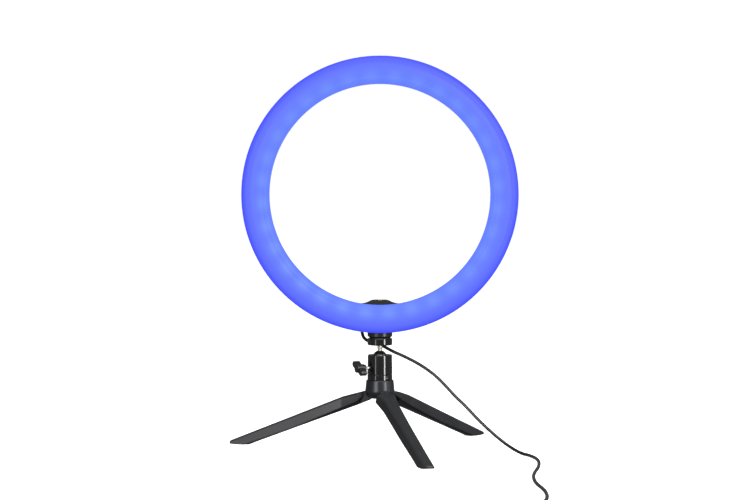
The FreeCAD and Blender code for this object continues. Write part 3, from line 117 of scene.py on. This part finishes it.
class Nodes:
    """Short ways to add nodes to one tree."""

    def __init__(self, tree):
        self.tree = tree
        self.links = tree.links

    def add(self, kind, **settings):
        node = self.tree.nodes.new(kind)
        for name, value in settings.items():
            setattr(node, name, value)
        return node

    def join(self, a, b):
        self.links.new(a, b)

    def math(self, operation, a, b=None, clamp=False):
        node = self.add("ShaderNodeMath", operation=operation, use_clamp=clamp)
        for socket, value in zip(node.inputs, (a, b)):
            if value is None:
                continue
            if isinstance(value, (int, float)):
                socket.default_value = value
            else:
                self.join(value, socket)
        return node.outputs[0]

    def noise(self, vector, scale, detail=2.0, rough=0.5):
        node = self.add("ShaderNodeTexNoise")
        node.inputs["Scale"].default_value = scale
        node.inputs["Detail"].default_value = detail
        node.inputs["Roughness"].default_value = rough
        self.join(vector, node.inputs["Vector"])
        return node.outputs["Fac"]

    def ramp(self, value, stops):
        node = self.add("ShaderNodeValToRGB")
        ramp = node.color_ramp
        while len(ramp.elements) < len(stops):
            ramp.elements.new(0.5)
        for element, (position, colour) in zip(ramp.elements, stops):
            element.position = position
            element.color = colour
        self.join(value, node.inputs["Fac"])
        return node.outputs["Color"]

    def spread(self, value, low, high):
        """Map the middle of a noise's values to a range."""
        node = self.add("ShaderNodeMapRange")
        node.inputs["From Min"].default_value = NOISE_LOW
        node.inputs["From Max"].default_value = NOISE_HIGH
        node.inputs["To Min"].default_value = low
        node.inputs["To Max"].default_value = high
        self.join(value, node.inputs["Value"])
        return node.outputs["Result"]


def new_material(name):
    """Material with a Principled shader; returns it, its node helper and the shader."""
    made = bpy.data.materials.new(name)
    made.use_nodes = True
    nodes = Nodes(made.node_tree)
    return made, nodes, made.node_tree.nodes["Principled BSDF"]


def surface(name, dark, light, rough, grain=1500.0, bump=0.02, patch=40.0, metallic=0.0, specular=0.5,
            coat=0.0, coat_rough=0.03, stretch=(1, 1, 1), sheen=0.0):
    """Moulded, painted or metal surface: fine grain in bump, broader patches in colour, both in roughness.

    grain and patch are noise scales, bump is the grain's depth in millimetres.
    """
    made, n, shader = new_material(name)
    place = n.add("ShaderNodeTexCoord").outputs["Object"]
    scaled = n.add("ShaderNodeMapping")
    scaled.inputs["Scale"].default_value = stretch
    n.join(place, scaled.inputs["Vector"])
    where = scaled.outputs["Vector"]
    fine = n.noise(where, grain, 2.0, 0.6)
    broad = n.noise(where, patch, 3.0, 0.55)
    tint = n.ramp(broad, [(NOISE_LOW, (*dark, 1)), (NOISE_HIGH, (*light, 1))])
    n.join(tint, shader.inputs["Base Color"])
    mixed = n.math("ADD", n.math("MULTIPLY", fine, 0.5), n.math("MULTIPLY", broad, 0.5))
    n.join(n.spread(mixed, rough[0], rough[1]), shader.inputs["Roughness"])
    shader.inputs["Metallic"].default_value = metallic
    shader.inputs["Specular IOR Level"].default_value = specular
    shader.inputs["Coat Weight"].default_value = coat
    shader.inputs["Coat Roughness"].default_value = coat_rough
    shader.inputs["Sheen Weight"].default_value = sheen
    relief = n.add("ShaderNodeBump")
    relief.inputs["Strength"].default_value = 0.6
    relief.inputs["Distance"].default_value = bump / 1000
    n.join(fine, relief.inputs["Height"])
    n.join(relief.outputs["Normal"], shader.inputs["Normal"])
    return made


# ---------------------------------------------------------------- the lit diffuser
def diffuser_material():
    """Milky cover lit from inside: deeper blue towards the outer rim, with a faint spot before each lamp."""
    made, n, shader = new_material("diffuser_lit")
    place = n.add("ShaderNodeSeparateXYZ")
    n.join(n.add("ShaderNodeTexCoord").outputs["Object"], place.inputs["Vector"])
    x = place.outputs["X"]
    z = n.math("SUBTRACT", place.outputs["Z"], RING_Z)
    radius = n.math("SQRT", n.math("ADD", n.math("MULTIPLY", x, x), n.math("MULTIPLY", z, z)))
    share = n.math("DIVIDE", n.math("SUBTRACT", radius, RING_INNER), RING_OUTER - RING_INNER, clamp=True)
    glow = n.ramp(share, [(position, linear(*colour)) for position, colour in GLOW_INNER_TO_OUTER])
    angle = n.math("ARCTAN2", z, x)
    beat = n.math("COSINE", n.math("MULTIPLY", n.math("SUBTRACT", angle, LAMP_FIRST), LAMP_COUNT))
    beat = n.math("ADD", n.math("MULTIPLY", beat, 0.5), 0.5)
    off = n.math("DIVIDE", n.math("SUBTRACT", radius, SPOT_RADIUS), SPOT_WIDTH)
    band = n.math("EXPONENT", n.math("MULTIPLY", n.math("MULTIPLY", off, off), -1.0))
    lean = n.math("MAXIMUM", n.math("COSINE", n.math("SUBTRACT", angle, SPOT_STRONGEST_AT)), 0.0)
    strength = n.math("ADD", n.math("MULTIPLY", lean, SPOT_EXTRA), SPOT_WEAKEST)
    spot = n.math("MULTIPLY", n.math("MULTIPLY", beat, band), strength, clamp=True)
    mix = n.add("ShaderNodeMix", data_type="RGBA")
    sockets = [s for s in mix.inputs if s.type == "RGBA"]
    n.join(spot, mix.inputs[0])
    n.join(glow, sockets[0])
    sockets[1].default_value = linear(*SPOT_COLOUR)
    n.join([s for s in mix.outputs if s.type == "RGBA"][0], shader.inputs["Emission Color"])
    shader.inputs["Emission Strength"].default_value = 1.0
    shader.inputs["Base Color"].default_value = (0.01, 0.013, 0.03, 1)
    fine = n.noise(n.tree.nodes["Texture Coordinate"].outputs["Object"], 2500.0)
    n.join(n.spread(fine, 0.38, 0.46), shader.inputs["Roughness"])
    shader.inputs["Specular IOR Level"].default_value = 0.08
    return made


MATERIALS = {
    "diffuser": diffuser_material(),
    "shell_black": surface(
        "shell_black", (0.008, 0.008, 0.009), (0.011, 0.011, 0.012), (0.20, 0.28), 900, 0.004),
    "block_black": surface(
        "block_black", (0.014, 0.014, 0.016), (0.019, 0.019, 0.022), (0.28, 0.36), 900, 0.002),
    "ball_head_black": surface(
        "ball_head_black", (0.006, 0.006, 0.007), (0.008, 0.008, 0.009), (0.13, 0.16), 700, 0.0005,
        coat=0.6, coat_rough=0.05),
    "hub_black": surface(
        "hub_black", (0.011, 0.012, 0.015), (0.015, 0.016, 0.020), (0.28, 0.35), 3200, 0.005),
    "leg_black": surface(
        "leg_black", (0.011, 0.0115, 0.0135), (0.016, 0.0165, 0.0195), (0.38, 0.46), 3600, 0.010),
    # leg_core is the leg's black plastic made darker: painted shade for the web under the cover's lip
    "leg_core": surface(
        "leg_core", (0.007, 0.007, 0.008), (0.010, 0.010, 0.012), (0.45, 0.55), 3600, 0.012),
    "knob_black": surface(
        "knob_black", (0.012, 0.012, 0.014), (0.018, 0.018, 0.021), (0.30, 0.40), 2600, 0.006),
    "nickel": surface(
        "nickel", (0.62, 0.57, 0.51), (0.74, 0.69, 0.62), (0.34, 0.42), 500, 0.001,
        metallic=1.0, stretch=(1, 1, 8)),
    "steel": surface(
        "steel", (0.30, 0.30, 0.31), (0.42, 0.42, 0.43), (0.24, 0.36), 900, 0.003, metallic=1.0),
    "screw_black": surface(
        "screw_black", (0.015, 0.015, 0.016), (0.03, 0.03, 0.032), (0.32, 0.44), 1800, 0.004, metallic=0.6),
    "brass_metal": surface(
        "brass_metal", (0.50, 0.32, 0.12), (0.66, 0.45, 0.19), (0.20, 0.34), 900, 0.003, metallic=1.0),
    "rubber_pad": surface(
        "rubber_pad", (0.012, 0.012, 0.012), (0.020, 0.020, 0.020), (0.62, 0.74), 2400, 0.010, specular=0.3),
    "nylon": surface(
        "nylon", (0.60, 0.59, 0.55), (0.70, 0.69, 0.65), (0.40, 0.50), 1200, 0.004),
    "board": surface(
        "board", (0.70, 0.71, 0.70), (0.80, 0.81, 0.80), (0.30, 0.42), 800, 0.004),
    "board_green": surface(
        "board_green", (0.015, 0.08, 0.03), (0.03, 0.13, 0.05), (0.25, 0.38), 800, 0.004),
    "led_white": surface(
        "led_white", (0.78, 0.78, 0.70), (0.88, 0.88, 0.82), (0.25, 0.36), 1500, 0.002),
    "wire": surface(
        "wire", (0.40, 0.03, 0.02), (0.52, 0.05, 0.04), (0.30, 0.40), 900, 0.003),
    "cord_black": surface(
        "cord_black", (0.010, 0.010, 0.011), (0.015, 0.015, 0.016), (0.22, 0.28), 1300, 0.001),
    "controller_black": surface(
        "controller_black", (0.009, 0.009, 0.010), (0.014, 0.014, 0.015), (0.24, 0.34), 2400, 0.008),
    "button_grey": surface(
        "button_grey", (0.12, 0.12, 0.13), (0.17, 0.17, 0.18), (0.48, 0.60), 2400, 0.010, specular=0.35),
    "switch_metal": surface(
        "switch_metal", (0.36, 0.36, 0.36), (0.48, 0.48, 0.48), (0.26, 0.38), 900, 0.003, metallic=1.0),
    "tie_black": surface(
        "tie_black", (0.010, 0.010, 0.011), (0.024, 0.024, 0.026), (0.75, 0.90), 1400, 0.12,
        specular=0.2, sheen=0.3),
    "gold": surface(
        "gold", (0.75, 0.52, 0.18), (0.85, 0.62, 0.26), (0.16, 0.26), 900, 0.002, metallic=1.0),
    "tongue_white": surface(
        "tongue_white", (0.72, 0.72, 0.72), (0.80, 0.80, 0.80), (0.36, 0.46), 1200, 0.004),
}
SLOT_OF = {s["node"]: s["material_slot"] for s in frame["record"]["subparts"]}


def paint(obj, slot_name):
    """Give a piece the one material of its slot."""
    obj.data.materials.clear()
    obj.data.materials.append(MATERIALS[slot_name])


for node_name, node in frame["nodes"].items():
    paint(node, SLOT_OF[node_name])
lit_cover = frame["nodes"]["diffuser"]
lit_cover.visible_diffuse = False
lit_cover.visible_glossy = False


# ---------------------------------------------------------------- cord
CORD_DIAMETER = 0.003
FLOOR_LINE = CORD_DIAMETER / 2
TUBE_SIDES = 18
BALL_STRETCH_START = 0.031
BALL_STRETCH_END = 0.063
LANDING_START = (0.1165, -0.0320, 0.0082)
LANDING_END = (0.1290, -0.0465, FLOOR_LINE)
LANDING = tuple((a + b) / 2 for a, b in zip(LANDING_START, LANDING_END))
DROP_ROUTE = (
    (-0.0172, 0.0140, 0.1133),
    (-0.0172, 0.0140, 0.1068),
    (-0.0134, 0.0154, 0.1012),
    (-0.0060, 0.0172, 0.0987),
    (0.0026, 0.0172, 0.0961),
    (0.0120, 0.0158, 0.0906),
    (0.0224, 0.0130, 0.0865),
    (0.0374, 0.0092, 0.0791),
    (0.0512, 0.0050, 0.0699),
    (0.0622, 0.0005, 0.0593),
    (0.0711, -0.0025, 0.0494),
    (0.0805, -0.0065, 0.0409),
    (0.0920, -0.0135, 0.0289),
    (0.1040, -0.0215, 0.0179),
    LANDING_START,
    LANDING,
)
FLOOR_ROUTE = (
    LANDING,
    LANDING_END,
    (0.1375, -0.0625, FLOOR_LINE),
    (0.1425, -0.0920, FLOOR_LINE),
    (0.1390, -0.1340, FLOOR_LINE),
    (0.1295, -0.1800, FLOOR_LINE),
    (0.1270, -0.2260, FLOOR_LINE),
    (0.1320, -0.2700, FLOOR_LINE),
    (0.1300, -0.3120, FLOOR_LINE),
    (0.1195, -0.3460, FLOOR_LINE),
    (0.1190, -0.3780, FLOOR_LINE),
    (0.1150, -0.4010, FLOOR_LINE),
    (0.1010, -0.4140, 0.0026),
    (0.0880, -0.4150, 0.0055),
)
COIL_CENTRE = (-0.042, -0.425)
COIL_LAYERS = (
    (0.0023, (0.0210, 0.0180, 0.0150, 0.0120)),
    (0.0049, (0.0135, 0.0165, 0.0195)),
    (0.0075, (0.0180, 0.0150)),
    (0.0101, (0.0165,)),
)
COIL_STEPS = 14
COIL_EVEN_SHARE = 0.6
COIL_START = math.radians(75.0)
LEAD_ROUTE = (
    (0.0020, -0.4150, 0.0055),
    (-0.0080, -0.4144, 0.0036),
    (-0.0180, -0.4114, 0.0023),
    (-0.0270, -0.4080, 0.0023),
)
TAIL_ROUTE = (
    (-0.0495, -0.4044, 0.0066),
    (-0.0575, -0.4062, 0.0048),
    (-0.0670, -0.4092, 0.0039),
    (-0.0770, -0.4105, 0.0039),
)


def coil_points():
    """Turns of the coil, from the outside at the bottom.

    Each turn keeps its radius for an even share of its way, and then drifts to the next turn's.
    """
    turns = [(radius, height) for height, radii in COIL_LAYERS for radius in radii]
    points = []
    for k, (radius, height) in enumerate(turns):
        next_radius, next_height = turns[min(k + 1, len(turns) - 1)]
        for step in range(COIL_STEPS):
            share = step / COIL_STEPS
            shift = max(0.0, share - COIL_EVEN_SHARE) / (1.0 - COIL_EVEN_SHARE)
            around = COIL_START + 2 * math.pi * share
            r = radius + (next_radius - radius) * shift
            z = height + (next_height - height) * shift
            x = COIL_CENTRE[0] + r * math.cos(around)
            y = COIL_CENTRE[1] + r * math.sin(around)
            points.append((x, y, z))
    return points


def spline_curve(name, points, bevel):
    """NURBS curve object with a route's points as its control points."""
    curve = bpy.data.curves.new(name, "CURVE")
    curve.dimensions = "3D"
    curve.resolution_u = 8
    spline = curve.splines.new("NURBS")
    spline.points.add(len(points) - 1)
    for point, place in zip(spline.points, points):
        point.co = (*place, 1.0)
    spline.order_u = 3
    spline.use_endpoint_u = True
    curve.bevel_depth = bevel
    curve.bevel_resolution = 6
    curve.use_fill_caps = True
    obj = bpy.data.objects.new(name, curve)
    bpy.context.scene.collection.objects.link(obj)
    return obj


def spline_points(points):
    """Points along the route's own NURBS line."""
    line = spline_curve("line_of_route", points, 0.0)
    bpy.context.view_layer.update()
    mesh = bpy.data.meshes.new_from_object(line)
    found = [v.co.copy() for v in mesh.vertices]
    bpy.data.meshes.remove(mesh)
    bpy.data.objects.remove(line)
    return found


def tube(name, line, radius, capped_start):
    """Round tube along a line of points, with frames carried along so that it doesn't twist."""
    sides = TUBE_SIDES
    verts, faces = [], []
    across = None
    for k, point in enumerate(line):
        way = (line[min(k + 1, len(line) - 1)] - line[max(k - 1, 0)]).normalized()
        if across is None:
            across = way.orthogonal().normalized()
        across = (across - way * across.dot(way)).normalized()
        other = way.cross(across)
        for s in range(sides):
            turn = 2 * math.pi * s / sides
            verts.append(point + across * (radius * math.cos(turn)) + other * (radius * math.sin(turn)))
    for k in range(len(line) - 1):
        for s in range(sides):
            t = (s + 1) % sides
            faces.append((k * sides + s, k * sides + t, (k + 1) * sides + t, (k + 1) * sides + s))
    if capped_start:
        faces.append(tuple(reversed(range(sides))))
    mesh = bpy.data.meshes.new(name)
    mesh.from_pydata([tuple(v) for v in verts], [], faces)
    mesh.shade_smooth()
    obj = bpy.data.objects.new(name, mesh)
    bpy.context.scene.collection.objects.link(obj)
    return obj


def lengths(line):
    """Distance along the line at each of its points."""
    found = [0.0]
    for a, b in zip(line, line[1:]):
        found.append(found[-1] + (b - a).length)
    return found


def build_drop():
    """The hanging cord, in three stretches, cut at given distances along its line where the light and the
    ball turn.
    """
    line = spline_points(DROP_ROUTE)
    along = lengths(line)
    marks = (0.0, BALL_STRETCH_START, BALL_STRETCH_END, along[-1])
    bends = (("light_head", "ball_tilt"), ("ball_tilt", "ball_pan"), ("ball_pan", "tripod"))
    names = ("cord_at_light", "cord_at_ball", "cord_hanging")
    ends = [min(range(len(line)), key=lambda k: abs(along[k] - mark)) for mark in marks]
    for name, bodies, a, b in zip(names, bends, ends, ends[1:]):
        stretch = line[a:b + 1]
        piece = tube(name, stretch, CORD_DIAMETER / 2, capped_start=(a == 0))
        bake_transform(piece)
        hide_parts("cord_drop")
        paint(piece, "cord_black")


def build_floor_cord():
    """The cord on the floor, to the controller, and the coil from the controller to the plug."""
    run = spline_curve("cord_to_controller", FLOOR_ROUTE, CORD_DIAMETER / 2)
    paint(run, "cord_black")
    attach(run, "tripod")
    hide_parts("cord_floor")
    coil_route = LEAD_ROUTE[:-1] + tuple(coil_points()) + TAIL_ROUTE[1:]
    coil = spline_curve("cord_to_plug", coil_route, CORD_DIAMETER / 2)
    paint(coil, "cord_black")
    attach(coil, "tripod")
    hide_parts("cord_lead", "cord_coil", "cord_tail")


build_drop()
build_floor_cord()


# ---------------------------------------------------------------- stage
def make_floor():
    """Plain pale floor, brightening to white away from the object."""
    mesh = bpy.data.meshes.new("floor")
    corners = [(x * FLOOR_HALF, y * FLOOR_HALF, 0) for x, y in ((-1, -1), (1, -1), (1, 1), (-1, 1))]
    mesh.from_pydata(corners, [], [(0, 1, 2, 3)])
    obj = bpy.data.objects.new("floor", mesh)
    bpy.context.scene.collection.objects.link(obj)
    made, n, shader = new_material("pale_floor")
    shader.inputs["Base Color"].default_value = (FLOOR_GREY, FLOOR_GREY, FLOOR_GREY, 1)
    shader.inputs["Roughness"].default_value = 0.9
    shader.inputs["Specular IOR Level"].default_value = 0.0
    shader.inputs["Emission Color"].default_value = (1, 1, 1, 1)
    away = n.add("ShaderNodeVectorMath", operation="LENGTH")
    n.join(n.add("ShaderNodeTexCoord").outputs["Object"], away.inputs[0])
    glow = n.add("ShaderNodeMapRange", interpolation_type="SMOOTHSTEP")
    for name, value in FLOOR_GLOW:
        glow.inputs[name].default_value = value
    n.join(away.outputs["Value"], glow.inputs["Value"])
    n.join(glow.outputs["Result"], shader.inputs["Emission Strength"])
    obj.visible_glossy = False
    obj.visible_diffuse = False
    obj.data.materials.append(made)


def softbox(name, azimuth, distance, height, width, tallness, power):
    """Rectangular soft light that faces the stand. Azimuth 0 is before the lit face, plus is to the right."""
    data = bpy.data.lights.new(name, "AREA")
    data.shape = "RECTANGLE"
    data.size = width
    data.size_y = tallness
    data.energy = power
    obj = bpy.data.objects.new(name, data)
    turn = math.radians(azimuth)
    obj.location = (distance * math.sin(turn), -distance * math.cos(turn), height)
    obj.rotation_euler = (Vector(LIGHT_AIM) - obj.location).to_track_quat("-Z", "Y").to_euler()
    bpy.context.scene.collection.objects.link(obj)


def make_world():
    """White surroundings for the view, dimmer for reflections and fill."""
    world = bpy.data.worlds.new("studio")
    world.use_nodes = True
    bpy.context.scene.world = world
    n = Nodes(world.node_tree)
    back = world.node_tree.nodes["Background"]
    seen = n.add("ShaderNodeBackground")
    seen.inputs["Color"].default_value = (1, 1, 1, 1)
    seen.inputs["Strength"].default_value = BACKDROP_STRENGTH
    back.inputs["Color"].default_value = (1, 1, 1, 1)
    back.inputs["Strength"].default_value = FILL_STRENGTH
    mix = n.add("ShaderNodeMixShader")
    n.join(n.add("ShaderNodeLightPath").outputs["Is Camera Ray"], mix.inputs[0])
    n.join(back.outputs[0], mix.inputs[1])
    n.join(seen.outputs[0], mix.inputs[2])
    n.join(mix.outputs[0], world.node_tree.nodes["World Output"].inputs["Surface"])


def make_camera():
    """Camera before the lit face, a little below the ring's centre."""
    data = bpy.data.cameras.new("camera")
    data.sensor_width = CAMERA_SENSOR_MM
    data.lens = CAMERA_LENS_MM
    obj = bpy.data.objects.new("camera", data)
    obj.location = CAMERA_PLACE
    obj.rotation_euler = (Vector(CAMERA_AIM) - obj.location).to_track_quat("-Z", "Y").to_euler()
    bpy.context.scene.collection.objects.link(obj)
    bpy.context.scene.camera = obj


make_floor()
make_world()
for light in LIGHTS:
    softbox(*light)
make_camera()
bpy.context.scene.view_settings.view_transform = "Standard"
